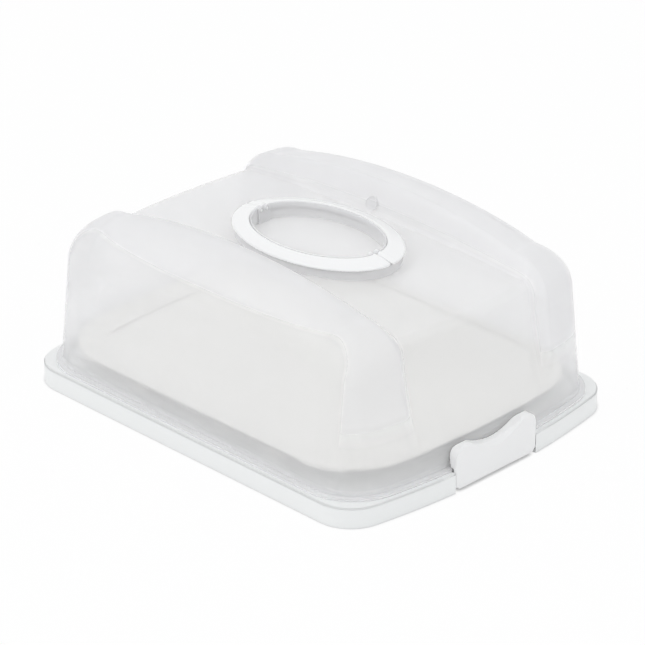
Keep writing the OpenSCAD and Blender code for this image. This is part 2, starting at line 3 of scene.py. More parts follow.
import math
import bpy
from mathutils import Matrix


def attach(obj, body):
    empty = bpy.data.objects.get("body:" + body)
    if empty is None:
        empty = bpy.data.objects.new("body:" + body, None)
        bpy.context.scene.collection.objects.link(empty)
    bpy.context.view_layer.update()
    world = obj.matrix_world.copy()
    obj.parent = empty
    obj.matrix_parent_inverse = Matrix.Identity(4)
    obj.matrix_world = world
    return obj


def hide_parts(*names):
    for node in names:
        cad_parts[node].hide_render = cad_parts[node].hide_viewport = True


bl_info = {
    "name": "Cake carrier dressing",
    "version": (1, 0, 0),
    "blender": (4, 5, 0),
    "location": "View3D > Sidebar > Carrier",
    "description": "Lid, handles, latch, plate and tray of a cake carrier, in a white studio",
    "category": "Object",
}

import bmesh
import bpy
from mathutils import Matrix, Vector

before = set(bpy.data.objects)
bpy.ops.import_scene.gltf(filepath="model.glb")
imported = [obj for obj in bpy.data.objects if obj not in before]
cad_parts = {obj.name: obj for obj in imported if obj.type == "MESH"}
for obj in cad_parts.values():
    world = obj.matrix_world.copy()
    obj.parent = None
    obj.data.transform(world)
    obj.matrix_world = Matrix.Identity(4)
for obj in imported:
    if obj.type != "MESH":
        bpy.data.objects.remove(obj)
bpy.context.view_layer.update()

MM = 0.001

# Small lengths of the mouldings, in metres. Those of fits and pins are the construction model's.
GAP = 0.0003
NOTCH_STEP = 0.0003
HINGE_NOTCH_HALF = 0.0487
LATCH_NOTCH_HALF = 0.0527
LATCH_NOTCH_CUT = 0.0021
FLANGE_AT_HINGE = 0.0001
COLLAR_RISE = 0.0078
COLLAR_ROOT = 0.0011
COLLAR_OUTSIDE, COLLAR_OUTER_BACK = 0.0025, 0.0047
COLLAR_LIP, COLLAR_INSIDE, COLLAR_INNER_BACK = 0.0008, 0.0022, 0.0004
BAIL_RADIUS = 0.0034
BAIL_PIVOT_Y = 0.0037
RIM_BELOW_BAIL = 0.0008
BRACKET_REACH = 0.005
BRACKET_BORE = 0.00178
BRACKET_ROUND = 0.0003
HINGE_RADIUS = 0.0042
HINGE_BORE = 0.00168
HINGE_BACK = 0.0004
HINGE_LIFT = 0.0005
HINGE_LENGTH = 0.096
LEAF_BELOW, LEAF_ABOVE, LEAF_ROOT = 0.0021, 0.0029, 0.0006
GATE_RADIUS, GATE_HEIGHT = 0.007, 0.003
GATE_RIM, GATE_DISH = 0.0016, 0.0007
GATE_X, GATE_UP_SLOPE = -0.0135, 0.0046
EDGE_ROUND = 0.0004
SOFT_ROUND = 0.0006
GRAIN_DEPTH = 0.0004
SAME_PLACE = 0.00001

# A count, and an angle in degrees.
KNUCKLES = 5
GATE_TILT = 64

# Where the lid's looks change, in metres, and how strongly the bead shows.
WINDOW_SIDE_Y = 0.112
WINDOW_RAMP = 0.004
WINDOW_SOFT = 0.0012
VALLEY_MARGIN, VALLEY_FADE = 0.006, 0.003
FROST_FADE = 0.02
BEAD_INSET, BEAD_HALF = 0.0005, 0.0022
BEAD_SHARE = 0.25
THICK_FOOT_Z, THICK_FOOT_FADE = 0.0275, 0.005

# The photo's camera.
LENS_MM = 178.245
CAMERA_PLACE = (1.87081533, -1.85667823, 1.37344569)
CAMERA_RIGHT = (0.70632024, 0.70788856, -0.00234699)
CAMERA_UP = (-0.31216062, 0.31444131, 0.89648336)
CAMERA_BACK = (0.6353483, -0.6324717, 0.44307119)

# The white studio, in metres; a lamp has its place, size and power.
FLOOR_SIZE, FLOOR_Z = 14, -0.0002
SEEN_SHARE = 0.95
# How far the floor's painted contact shadow reaches from what stands on it.
PAINTED_SHADOW_REACH = 0.004
LAMP_AIM = (0, 0, 0.08)
LAMPS = (
    ("soft_key", (-0.6, -1.9, 2.2), 1.6, 14.5),
    ("soft_fill", (2.2, 0.6, 1.9), 1.8, 7.3),
)


# ---------------------------------------------------------------- sizes and colours


def length_prop(label, text, millimetres):
    """A length that is stored in metres."""
    size = millimetres * MM
    return bpy.props.FloatProperty(name=label, description=text, default=size, unit="LENGTH")


def colour_prop(label, text, default):
    """A colour, as the scene uses it."""
    return bpy.props.FloatVectorProperty(
        name=label, description=text, default=default, subtype="COLOR", size=3, min=0, max=1
    )


class CarrierSizes(bpy.types.PropertyGroup):
    """Sizes of the lid and of what is moulded on it, as in the construction model."""

    tray_length: length_prop("Tray length", "Length of the tray over its bowed ends", 450)
    tray_width: length_prop("Tray width", "Width of the tray", 344)
    end_bow: length_prop("End bow", "How far the middle of a short end stands out", 19)
    rim_height: length_prop("Rim height", "Height of the tray's rim above the table", 19.6)
    lid_top: length_prop("Lid top", "Height of the lid's ridges above the table", 180.5)
    lid_wall: length_prop("Lid wall", "Thickness of the lid", 2.2)
    lid_inset: length_prop("Lid inset", "Tray's edge to the foot of the lid's wall", 10)
    flange_width: length_prop("Flange width", "Foot flange beyond the lid's wall", 5.6)
    foot_corner: length_prop("Foot corner", "Plan radius at the lid's foot", 40)
    end_lean: length_prop("End lean", "How far an end wall leans in", 12)
    side_lean: length_prop("Side lean", "How far a side wall leans in", 9.5)
    shoulder: length_prop("Shoulder", "Radius of the rolled shoulder", 44)
    ridge_fall: length_prop("Ridge fall", "Fall of a ridge from its middle to its shoulder", 17)
    ridge_flat: length_prop("Ridge flat", "Flat top of a ridge", 11.5)
    valley_depth: length_prop("Valley depth", "Depth of the valley below the ridges", 29)
    valley_fall: length_prop("Valley fall", "Fall of the valley's floor to its end", 6.3)
    slope_run: length_prop("Slope run", "Run of the slope from the valley to a ridge", 17)
    panel_setback: length_prop("Panel set-back", "How far the valley's end panel is set back", 14)
    panel_foot: length_prop("Panel foot", "Height where the set-back begins", 40)
    panel_radius: length_prop("Panel radius", "Radius between the end panel and the floor", 10)
    ring_half_length: length_prop("Ring half length", "Half length of the handle ring", 93.3)
    ring_half_width: length_prop("Ring half width", "Half width of the handle ring", 62)
    ring_end_band: length_prop("Ring end band", "Width of the ring at its ends", 19.1)
    ring_side_band: length_prop("Ring side band", "Width of the ring at its sides", 13)
    window_x: length_prop("Window half length", "Half length of the clear side window", 178)
    window_z: length_prop("Window top", "Height of the top of the side window", 157)
    frost_foot: length_prop("Frost foot", "Height where the frosted bands begin", 66)
    window_corner: length_prop("Window corner", "Corner radius of the side window", 25)
    window_depth: length_prop("Window depth", "How far the side window is set in", 0.7)


class CarrierColours(bpy.types.PropertyGroup):
    """Colours of the plastics and the pin."""

    tray: colour_prop("Tray", "White plastic with a faint green-grey tinge", (0.90, 0.91, 0.906))
    plate: colour_prop("Plate", "Warm white plastic", (0.935, 0.925, 0.88))
    lid: colour_prop("Lid", "Body of the translucent plastic", (0.966, 0.964, 0.975))
    latch: colour_prop("Latch", "White plastic of the latch", (0.905, 0.905, 0.905))
    handle: colour_prop("Handle", "Bright white plastic of the handles", (0.965, 0.965, 0.965))
    pin: colour_prop("Pin", "Drawn steel", (0.60, 0.60, 0.61))


# ---------------------------------------------------------------- modelling tools


def deselect_all():
    """Leaves edit mode and selects nothing."""
    if bpy.context.mode != "OBJECT":
        bpy.ops.object.mode_set(mode="OBJECT")
    bpy.ops.object.select_all(action="DESELECT")


def choose(piece):
    """Makes one piece the selected and active one."""
    deselect_all()
    piece.select_set(True)
    bpy.context.view_layer.objects.active = piece


def take_new(name):
    """Names the object that an operator has just added."""
    piece = bpy.context.active_object
    piece.name = name
    piece.data.name = name
    return piece


def finish_modifier(piece, kind, **values):
    """Adds a modifier, sets its values and applies it."""
    choose(piece)
    modifier = piece.modifiers.new(kind.title(), kind)
    for key, value in values.items():
        setattr(modifier, key, value)
    bpy.ops.object.modifier_apply(modifier=modifier.name)


def settle(piece):
    """Puts the piece's place into its mesh."""
    choose(piece)
    bpy.ops.object.transform_apply(location=True, rotation=True, scale=True)


def outward(piece):
    """Merges doubles and turns every face outwards."""
    choose(piece)
    bpy.ops.object.mode_set(mode="EDIT")
    bpy.ops.mesh.select_all(action="SELECT")
    bpy.ops.mesh.remove_doubles(threshold=SAME_PLACE)
    bpy.ops.mesh.normals_make_consistent(inside=False)
    bpy.ops.object.mode_set(mode="OBJECT")


def smooth_faces(piece, angle=35):
    """Smooth shading with crisp edges above an angle in degrees; large flats stay flat."""
    choose(piece)
    bpy.ops.object.shade_smooth_by_angle(angle=math.radians(angle))
    finish_modifier(piece, "WEIGHTED_NORMAL", keep_sharp=True)


def copy_of_node(node, name):
    """A merged copy of a construction node, to be worked on."""
    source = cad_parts[node]
    piece = bpy.data.objects.new(name, source.data.copy())
    piece.data.name = name
    piece.data.materials.clear()
    bpy.context.scene.collection.objects.link(piece)
    outward(piece)
    return piece


def block(name, low, high):
    """A block between two corners, in metres."""
    deselect_all()
    size = [h - l for l, h in zip(low, high)]
    middle = [(h + l) / 2 for l, h in zip(low, high)]
    bpy.ops.mesh.primitive_cube_add(size=1, location=middle, scale=size)
    piece = take_new(name)
    settle(piece)
    return piece


def rod(name, centre, radius, depth, axis, sides=64):
    """A round rod along X, Y or Z."""
    deselect_all()
    turn = {"X": (0, math.pi / 2, 0), "Y": (math.pi / 2, 0, 0), "Z": (0, 0, 0)}[axis]
    bpy.ops.mesh.primitive_cylinder_add(
        vertices=sides, radius=radius, depth=depth, location=centre, rotation=turn
    )
    piece = take_new(name)
    settle(piece)
    return piece


def cut_with(piece, cutter, operation="DIFFERENCE"):
    """Cuts or joins a piece with another, which is used up."""
    finish_modifier(piece, "BOOLEAN", object=cutter, operation=operation, solver="EXACT")
    bpy.data.objects.remove(cutter)


def soften(piece, voxel, rounds):
    """Fuses a piece to one skin with softly rounded edges, as a moulding has."""
    finish_modifier(piece, "REMESH", mode="VOXEL", voxel_size=voxel, use_smooth_shade=True)
    finish_modifier(piece, "SMOOTH", factor=0.5, iterations=rounds)
    choose(piece)
    bpy.ops.object.shade_smooth()


def loft_oval(name, rings, sides=144):
    """A closed ring whose section is a list of (half length, half width, height)."""
    deselect_all()
    bpy.ops.mesh.primitive_circle_add(vertices=sides, radius=1)
    piece = take_new(name)
    bpy.ops.object.mode_set(mode="EDIT")
    bpy.ops.mesh.select_all(action="SELECT")
    bm = bmesh.from_edit_mesh(piece.data)
    turn = bm.verts.layers.float.new("turn")
    for v in bm.verts:
        v[turn] = math.atan2(v.co.y, v.co.x)
    for number, (a, b, z) in enumerate(rings):
        if number:
            bpy.ops.mesh.extrude_region()
            bm = bmesh.from_edit_mesh(piece.data)
            turn = bm.verts.layers.float["turn"]
        for v in bm.verts:
            if v.select:
                v.co = (a * math.cos(v[turn]), b * math.sin(v[turn]), z)
        bmesh.update_edit_mesh(piece.data)
    bm = bmesh.from_edit_mesh(piece.data)
    for e in bm.edges:
        e.select = e.is_boundary
    bmesh.update_edit_mesh(piece.data)
    bpy.ops.mesh.select_mode(type="EDGE")
    bpy.ops.mesh.bridge_edge_loops()
    bpy.ops.object.mode_set(mode="OBJECT")
    piece.data.attributes.remove(piece.data.attributes["turn"])
    outward(piece)
    return piece


# ---------------------------------------------------------------- plastics


def node_group(name, inputs, outputs):
    """A shader group with named sockets; gives it with its two ends."""
    group = bpy.data.node_groups.new(name, "ShaderNodeTree")
    for label, kind, default in inputs:
        socket = group.interface.new_socket(name=label, in_out="INPUT", socket_type=kind)
        socket.default_value = default
    for label, kind in outputs:
        group.interface.new_socket(name=label, in_out="OUTPUT", socket_type=kind)
    return group, group.nodes.new("NodeGroupInput"), group.nodes.new("NodeGroupOutput")


def sum_node(tree, operation, *values, clamp=False):
    """A Math node fed with sockets or numbers; gives its output."""
    node = tree.nodes.new("ShaderNodeMath")
    node.operation = operation
    node.use_clamp = clamp
    for slot, value in enumerate(values):
        if isinstance(value, bpy.types.NodeSocket):
            tree.links.new(value, node.inputs[slot])
        else:
            node.inputs[slot].default_value = value
    return node.outputs[0]


def build_grain_group():
    """Fine moulded grain: a colour that drifts a little, a roughness and a height."""
    group, start, end = node_group(
        "moulded_grain",
        [
            ("Colour", "NodeSocketColor", (0.8, 0.8, 0.8, 1)),
            ("Drift", "NodeSocketFloat", 0.03),
            ("Grain Scale", "NodeSocketFloat", 1800),
            ("Roughness Low", "NodeSocketFloat", 0.3),
            ("Roughness High", "NodeSocketFloat", 0.4),
        ],
        [
            ("Colour", "NodeSocketColor"),
            ("Roughness", "NodeSocketFloat"),
            ("Height", "NodeSocketFloat"),
        ],
    )
    links = group.links
    place = group.nodes.new("ShaderNodeTexCoord")
    cloud = group.nodes.new("ShaderNodeTexNoise")
    cloud.inputs["Scale"].default_value = 14
    cloud.inputs["Detail"].default_value = 3
    grain = group.nodes.new("ShaderNodeTexNoise")
    grain.inputs["Detail"].default_value = 2
    links.new(place.outputs["Object"], cloud.inputs["Vector"])
    links.new(place.outputs["Object"], grain.inputs["Vector"])
    links.new(start.outputs["Grain Scale"], grain.inputs["Scale"])
    centred = sum_node(group, "SUBTRACT", cloud.outputs["Fac"], 0.5)
    drift = sum_node(group, "MULTIPLY", centred, start.outputs["Drift"])
    level = sum_node(group, "ADD", drift, 1.0)
    tint = group.nodes.new("ShaderNodeVectorMath")
    tint.operation = "SCALE"
    links.new(start.outputs["Colour"], tint.inputs[0])
    links.new(level, tint.inputs["Scale"])
    span = group.nodes.new("ShaderNodeMapRange")
    span.inputs["From Min"].default_value = 0.3
    span.inputs["From Max"].default_value = 0.7
    links.new(cloud.outputs["Fac"], span.inputs["Value"])
    links.new(start.outputs["Roughness Low"], span.inputs["To Min"])
    links.new(start.outputs["Roughness High"], span.inputs["To Max"])
    links.new(tint.outputs["Vector"], end.inputs["Colour"])
    links.new(span.outputs["Result"], end.inputs["Roughness"])
    links.new(grain.outputs["Fac"], end.inputs["Height"])
    return group


def build_window_group(sizes):
    """Masks of the lid: its clear places, and its thick ones, at a window's bead and the foot."""
    group, start, end = node_group(
        "clear_places",
        [("Softness", "NodeSocketFloat", WINDOW_SOFT)],
        [("Clear", "NodeSocketFloat"), ("Rim", "NodeSocketFloat")],
    )
    place = group.nodes.new("ShaderNodeTexCoord")
    split = group.nodes.new("ShaderNodeSeparateXYZ")
    group.links.new(place.outputs["Object"], split.inputs[0])

    def op(operation, *values, clamp=False):
        return sum_node(group, operation, *values, clamp=clamp)

    x, y = op("ABSOLUTE", split.outputs["X"]), op("ABSOLUTE", split.outputs["Y"])
    z = split.outputs["Z"]
    corner = sizes.window_corner
    over_x = op("MAXIMUM", op("SUBTRACT", x, sizes.window_x - corner), 0)
    over_z = op("MAXIMUM", op("SUBTRACT", z, sizes.window_z - corner), 0)
    square = op("ADD", op("MULTIPLY", over_x, over_x), op("MULTIPLY", over_z, over_z))
    reach = op("SUBTRACT", op("SQRT", square), corner)
    side = op("GREATER_THAN", y, WINDOW_SIDE_Y)
    inside = op("SUBTRACT", 0.5, op("DIVIDE", reach, start.outputs["Softness"]), clamp=True)
    window = op("MULTIPLY", inside, side)
    valley_edge = lid_form(sizes)["valley_half"] + VALLEY_MARGIN
    valley = op("DIVIDE", op("SUBTRACT", valley_edge, y), VALLEY_FADE, clamp=True)
    frost = op("DIVIDE", op("SUBTRACT", z, sizes.frost_foot), FROST_FADE, clamp=True)
    clear = op("MAXIMUM", op("MAXIMUM", window, valley), op("SUBTRACT", 1, frost))

    offset = op("ABSOLUTE", op("ADD", reach, BEAD_INSET))
    bead = op("SUBTRACT", 1, op("DIVIDE", offset, BEAD_HALF), clamp=True)
    bead = op("MULTIPLY", op("MULTIPLY", bead, side), op("MULTIPLY", frost, BEAD_SHARE))
    thick = op("DIVIDE", op("SUBTRACT", THICK_FOOT_Z, z), THICK_FOOT_FADE, clamp=True)
    group.links.new(clear, end.inputs["Clear"])
    group.links.new(op("MAXIMUM", bead, thick), end.inputs["Rim"])
    return group


def principled(material):
    """The material's Principled shader."""
    return next(n for n in material.node_tree.nodes if n.type == "BSDF_PRINCIPLED")


def new_material(name):
    """A material with its Principled shader and nothing else."""
    material = bpy.data.materials.new(name)
    material.use_nodes = True
    return material, material.node_tree, principled(material)


def grained_plastic(name, group, colour, rough, drift=0.03, grain=1800, bump=0.02):
    """A moulded plastic: drifting colour, grain in the gloss and in the surface."""
    material, tree, shader = new_material(name)
    looks = tree.nodes.new("ShaderNodeGroup")
    looks.node_tree = group
    looks.inputs["Colour"].default_value = (*colour, 1)
    looks.inputs["Drift"].default_value = drift
    looks.inputs["Grain Scale"].default_value = grain
    looks.inputs["Roughness Low"].default_value = rough[0]
    looks.inputs["Roughness High"].default_value = rough[1]
    dent = tree.nodes.new("ShaderNodeBump")
    dent.inputs["Strength"].default_value = bump
    dent.inputs["Distance"].default_value = GRAIN_DEPTH
    tree.links.new(looks.outputs["Colour"], shader.inputs["Base Color"])
    tree.links.new(looks.outputs["Roughness"], shader.inputs["Roughness"])
    tree.links.new(looks.outputs["Height"], dent.inputs["Height"])
    tree.links.new(dent.outputs["Normal"], shader.inputs["Normal"])
    shader.inputs["IOR"].default_value = 1.48
    return material


def let_light_by(material, opacity, share):
    """Milky plastic scatters light forward: its shadows are lighter than its opacity."""
    tree = material.node_tree
    path = tree.nodes.new("ShaderNodeLightPath")
    kept = sum_node(tree, "MULTIPLY_ADD", path.outputs["Is Shadow Ray"], -share, 1)
    tree.links.new(sum_node(tree, "MULTIPLY", opacity, kept), principled(material).inputs["Alpha"])
    return material


def lid_plastic(name, group, windows, colour, glassy, haze):
    """Translucent plastic; haze is its opacity on the frosted bands and in the clear places."""
    material = grained_plastic(name, group, colour, (0.3, 0.4), drift=0.02, grain=1500, bump=0.05)
    tree, shader = material.node_tree, principled(material)
    shader.inputs["Transmission Weight"].default_value = glassy
    shader.inputs["IOR"].default_value = 1.3
    mask = tree.nodes.new("ShaderNodeGroup")
    mask.node_tree = windows
    mask.inputs["Softness"].default_value = WINDOW_SOFT

    def frosted_to_clear(frosted, clear):
        span = tree.nodes.new("ShaderNodeMapRange")
        span.inputs["To Min"].default_value = frosted
        span.inputs["To Max"].default_value = clear
        tree.links.new(mask.outputs["Clear"], span.inputs["Value"])
        return span.outputs["Result"]

    tree.links.new(frosted_to_clear(0.34, 0.12), shader.inputs["Roughness"])
    facing = tree.nodes.new("ShaderNodeLayerWeight")
    glance = sum_node(tree, "MULTIPLY", sum_node(tree, "POWER", facing.outputs["Facing"], 3), 0.3)
    body = sum_node(tree, "ADD", glance, frosted_to_clear(*haze))
    dense = sum_node(tree, "MULTIPLY_ADD", mask.outputs["Rim"], 0.3, body, clamp=True)
    return let_light_by(material, dense, 0.75)


def steel(name, group, colour):
    """Drawn steel of the hinge pin."""
    material = grained_plastic(name, group, colour, (0.22, 0.34), drift=0.08, grain=900, bump=0.05)
    principled(material).inputs["Metallic"].default_value = 1
    return material


PLASTICS = {}


def plastics():
    """The scene's materials, made once."""
    if not PLASTICS:
        colours = bpy.context.scene.carrier_colours
        grain = build_grain_group()
        windows = build_window_group(bpy.context.scene.carrier_sizes)
        for name, rough, extra in (
            ("tray", (0.34, 0.44), {}),
            ("plate", (0.36, 0.48), {"grain": 1200}),
            ("latch", (0.28, 0.36), {}),
            ("handle", (0.16, 0.24), {"drift": 0.015}),
        ):
            colour = getattr(colours, name)
            PLASTICS[name] = grained_plastic(f"{name}_plastic", grain, colour, rough, **extra)
        let_light_by(PLASTICS["plate"], 1, 0.85)
        let_light_by(PLASTICS["tray"], 1, 0.6)
        body = colours.lid
        for name, glassy, haze in (("lid", 0.3, (0.6, 0.38)), ("collar", 0, (0.5, 0.5))):
            PLASTICS[name] = lid_plastic(f"{name}_plastic", grain, windows, body, glassy, haze)
        PLASTICS["pin"] = steel("pin_steel", grain, colours.pin)
    return PLASTICS


def dress(piece, plastic, slot, body, *nodes):
    """Gives a finished piece its plastic and its body, and hides the nodes it stands for. The slot
    is not used.
    """
    piece.data.materials.clear()
    piece.data.materials.append(plastics()[plastic])
    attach(piece, body)
    if nodes:
        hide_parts(*nodes)


# ---------------------------------------------------------------- the lid's form


def lid_form(s):
    """Values that the lid's surfaces share, all in metres."""
    half = (s.tray_length / 2 - s.lid_inset, s.tray_width / 2 - s.lid_inset)
    arc = ((s.tray_width / 2) ** 2 + s.end_bow**2) / (2 * s.end_bow)
    core = (half[0] - s.end_lean - s.shoulder, half[1] - s.side_lean - s.shoulder)
    valley_z = s.lid_top - s.valley_depth
    crest_y = core[1] - s.ridge_flat
    return {
        "half": half,
        "arc": arc,
        "core": core,
        "foot_core": (half[0] - s.foot_corner, half[1] - s.foot_corner),
        "wall_z": s.rim_height + GAP + s.lid_wall,
        "valley_z": valley_z,
        "crest_y": crest_y,
        "valley_half": crest_y - s.slope_run,
        "panel_top": valley_z - s.valley_fall - s.panel_radius,
        "valley_core": half[0] - s.end_lean - s.panel_setback - s.panel_radius,
    }


def bow(form, y):
    """How far a short end falls back at a distance from its middle."""
    return form["arc"] - math.sqrt(form["arc"] ** 2 - y * y)


def ridge_share(s, form, y):
    """0 in the valley, 1 on the ridge."""
    t = min(1, max(0, (abs(y) - form["valley_half"]) / s.slope_run))
    return (t * t * (3 - 2 * t)) ** 0.75


def round_corner(a, b, power):
    """A square pair bent onto a round corner; power 2 is a circle."""
    u = a * math.sqrt(1 - b * b / 2)
    v = b * math.sqrt(1 - a * a / 2)
    turn = math.atan2(v, u)
    push = (abs(math.cos(turn)) ** power + abs(math.sin(turn)) ** power) ** (-1 / power)
    return u * push, v * push


def floor_z(s, form, x):
    """Height of the valley's floor."""
    return form["valley_z"] - s.valley_fall * (x / form["valley_core"]) ** 2


def top_point(s, form, along, across):
    """A point of the lid's top. A station is (distance on the flat, share of the roll)."""
    (ax, at), (by, bt) = along, across
    core = form["core"]
    a, b = math.sin(math.radians(90 * at)), math.sin(math.radians(90 * bt))
    out = round_corner(a, b, 3.4)
    ridge_z = s.lid_top - s.ridge_fall * (ax / core[0]) ** 2
    ridge = Vector(
        (
            ax + s.shoulder * out[0],
            by + s.shoulder * out[1],
            ridge_z - s.shoulder + s.shoulder * math.sqrt((1 - a * a) * (1 - b * b)),
        )
    )
    turn = math.radians(84 * max(0, at - 1 / 3) * 1.5)
    reach = ax + (form["valley_core"] - core[0]) * min(1, 3 * at)
    valley = Vector(
        (
            reach + s.panel_radius * math.sin(turn),
            by,
            floor_z(s, form, reach) - s.panel_radius + s.panel_radius * math.cos(turn),
        )
    )
    share = ridge_share(s, form, by)
    point = valley.lerp(ridge, share)
    point.x -= bow(form, point.y) * min(1, ax / core[0]) ** 2
    return point


def wall_point(s, form, along, across, level, reach, at_end):
    """A point of the wall under an edge station, at a share of the wall's height."""
    (ax, at), (by, bt) = along, across
    core, foot_core = form["core"], form["foot_core"]
    top = top_point(s, form, along, across)
    radius = s.foot_corner + reach
    out = round_corner(math.sin(math.radians(90 * at)), math.sin(math.radians(90 * bt)), 2)
    spread = min(1, max(0, (by - form["crest_y"]) / (core[1] - form["crest_y"])))
    foot_y = by + (foot_core[1] - core[1]) * spread + radius * out[1]
    foot_x = ax * foot_core[0] / core[0] + radius * out[0]
    foot_x -= bow(form, foot_y) * min(1, ax / core[0]) ** 2
    share = ridge_share(s, form, by) if at_end else 1
    z = form["wall_z"] + (top.z - form["wall_z"]) * level
    climb = min(1, max(0, (z - s.panel_foot) / (form["panel_top"] - s.panel_foot)))
    set_back = s.panel_setback * math.sin(math.radians(90 * climb)) * (1 - share)
    full = s.panel_setback * (1 - share)
    x = foot_x * (1 - level) + (top.x + full) * level - set_back
    return Vector((x, foot_y * (1 - level) + top.y * level, z))


def half_stations(flat, rolls):
    """Stations from the middle outwards: distances on the flat, then shares of the roll."""
    return [(x, 0.0) for x in flat] + [(flat[-1], k / rolls) for k in range(1, rolls + 1)]


def flange_reach(s, point):
    """Width of the flange at a place of the foot: it is cut for the hinge and the latch."""
    if point.x < 0 and abs(point.y) < HINGE_NOTCH_HALF:
        return FLANGE_AT_HINGE
    if point.x > 0 and abs(point.y) < LATCH_NOTCH_HALF:
        return s.flange_width - LATCH_NOTCH_CUT
    return s.flange_width


def window_inset(s, point):
    """How far the side window is set in at a point of the outer skin."""
    if abs(point.y) < WINDOW_SIDE_Y:
        return 0
    over = Vector(
        (
            max(0, abs(point.x) - s.window_x + s.window_corner),
            max(0, point.z - s.window_z + s.window_corner),
        )
    )
    t = min(1, max(0, 0.5 - (over.length - s.window_corner) / WINDOW_RAMP))
    return s.window_depth * t * t * (3 - 2 * t)


def lid_skin(s):
    """The outer skin of the lid, from a grid whose border is drawn down to the foot flange."""
    form = lid_form(s)
    core = form["core"]
    valley = form["valley_half"]
    along = half_stations([core[0] * k / 24 for k in range(25)], 21)
    edges = (HINGE_NOTCH_HALF, LATCH_NOTCH_HALF)
    notch = [edge + step for edge in edges for step in (-NOTCH_STEP, NOTCH_STEP)]
    across_flat = sorted([valley * k / 10 for k in range(10)] + notch)
    across_flat += [valley + s.slope_run * k / 14 for k in range(15)]
    across_flat += [form["crest_y"] + s.ridge_flat * k / 3 for k in range(1, 4)]
    across = half_stations(across_flat, 20)
    last_x, last_y = len(along) - 1, len(across) - 1
    deselect_all()
    bpy.ops.mesh.primitive_grid_add(x_subdivisions=2 * last_x, y_subdivisions=2 * last_y, size=2)
    piece = take_new("cover_shell")
    bpy.ops.object.mode_set(mode="EDIT")
    bpy.ops.mesh.select_mode(type="EDGE")
    bm = bmesh.from_edit_mesh(piece.data)
    layer_i = bm.verts.layers.int.new("station_i")
    layer_j = bm.verts.layers.int.new("station_j")

    def mirrored(point, i, j):
        return Vector((math.copysign(point.x, i), math.copysign(point.y, j), point.z))

    for v in bm.verts:
        v[layer_i] = i = round(v.co.x * last_x)
        v[layer_j] = j = round(v.co.y * last_y)
        v.co = mirrored(top_point(s, form, along[abs(i)], across[abs(j)]), i, j)
    for e in bm.edges:
        e.select = e.is_boundary
    bm.select_flush_mode()
    bmesh.update_edit_mesh(piece.data)
    levels = 26
    rings = [(1 - k / levels, 0.0) for k in range(1, levels + 1)] + [(0.0, 0.6), (0.0, 1.0)]
    for level, share in rings:
        bpy.ops.mesh.extrude_region()
        bm = bmesh.from_edit_mesh(piece.data)
        layer_i = bm.verts.layers.int["station_i"]
        layer_j = bm.verts.layers.int["station_j"]
        for v in bm.verts:
            if v.select:
                i, j = v[layer_i], v[layer_j]
                at_end = abs(i) == last_x
                point = wall_point(s, form, along[abs(i)], across[abs(j)], level, 0, at_end)
                if share:
                    reach = share * flange_reach(s, mirrored(point, i, j))
                    point = wall_point(s, form, along[abs(i)], across[abs(j)], 0, reach, at_end)
                v.co = mirrored(point, i, j)
        bmesh.update_edit_mesh(piece.data)
    bpy.ops.mesh.select_all(action="SELECT")
    bpy.ops.mesh.normals_make_consistent(inside=False)
    bm = bmesh.from_edit_mesh(piece.data)
    bm.normal_update()
    moves = [(v, v.normal.copy() * window_inset(s, v.co)) for v in bm.verts]
    for v, move in moves:
        v.co -= move
    bmesh.update_edit_mesh(piece.data)
    bpy.ops.object.mode_set(mode="OBJECT")
    for name in ("station_i", "station_j"):
        piece.data.attributes.remove(piece.data.attributes[name])
    if piece.data.polygons[len(piece.data.polygons) // 2].normal.z < 0:
        piece.data.flip_normals()
    finish_modifier(
        piece,
        "SOLIDIFY",
        thickness=s.lid_wall,
        offset=-1,
        use_even_offset=True,
        use_quality_normals=True,
    )
    smooth_faces(piece, 40)
    return piece


def add_collar(s, form, outer, inner, seat):
    """The collar that the folded handle lies in."""
    foot = floor_z(s, form, outer[0]) - COLLAR_ROOT
    rim_top = seat + GAP + 2 * BAIL_RADIUS - RIM_BELOW_BAIL
    section = [
        (base[0] - inset, base[1] - inset, z)
        for base, inset, z in (
            (outer, COLLAR_OUTSIDE, foot),
            (outer, COLLAR_OUTSIDE, seat),
            (inner, COLLAR_LIP, seat),
            (inner, COLLAR_LIP, rim_top),
            (inner, COLLAR_INSIDE, rim_top),
            (inner, COLLAR_INSIDE, foot),
            (inner, COLLAR_INNER_BACK, foot),
            (inner, COLLAR_INNER_BACK, seat - s.lid_wall),
            (outer, COLLAR_OUTER_BACK, seat - s.lid_wall),
            (outer, COLLAR_OUTER_BACK, foot),
        )
    ]
    collar = loft_oval("cover_collar", section)
    finish_modifier(collar, "BEVEL", width=EDGE_ROUND, segments=2, limit_method="ANGLE")
    smooth_faces(collar, 40)
    dress(collar, "collar", "lid_frosted", "cover")


def add_brackets(s, form, outer, inner, seat):
    """The two brackets at the collar's ends that the bails turn in."""
    foot = floor_z(s, form, outer[0]) - COLLAR_ROOT
    bail_z = seat + GAP + BAIL_RADIUS
    half = BAIL_PIVOT_Y + BAIL_RADIUS
    reach = inner[0] * math.sqrt(1 - (half / inner[1]) ** 2) - GAP
    for side, label in ((1, "near"), (-1, "far")):
        ends = sorted((side * (inner[0] - BRACKET_REACH), side * reach))
        middle, width = sum(ends) / 2, ends[1] - ends[0]
        bracket = block(f"cover_bracket_{label}", (ends[0], -half, foot), (ends[1], half, bail_z))
        for y in (-BAIL_PIVOT_Y, BAIL_PIVOT_Y):
            cut_with(bracket, rod("knuckle", (middle, y, bail_z), BAIL_RADIUS, width, "X"), "UNION")
        for y in (-BAIL_PIVOT_Y, BAIL_PIVOT_Y):
            cut_with(bracket, rod("bore", (middle, y, bail_z), BRACKET_BORE, 0.02, "X"))
        finish_modifier(bracket, "BEVEL", width=BRACKET_ROUND, segments=2, limit_method="ANGLE")
        smooth_faces(bracket, 35)
        dress(bracket, "collar", "lid_frosted", "cover")


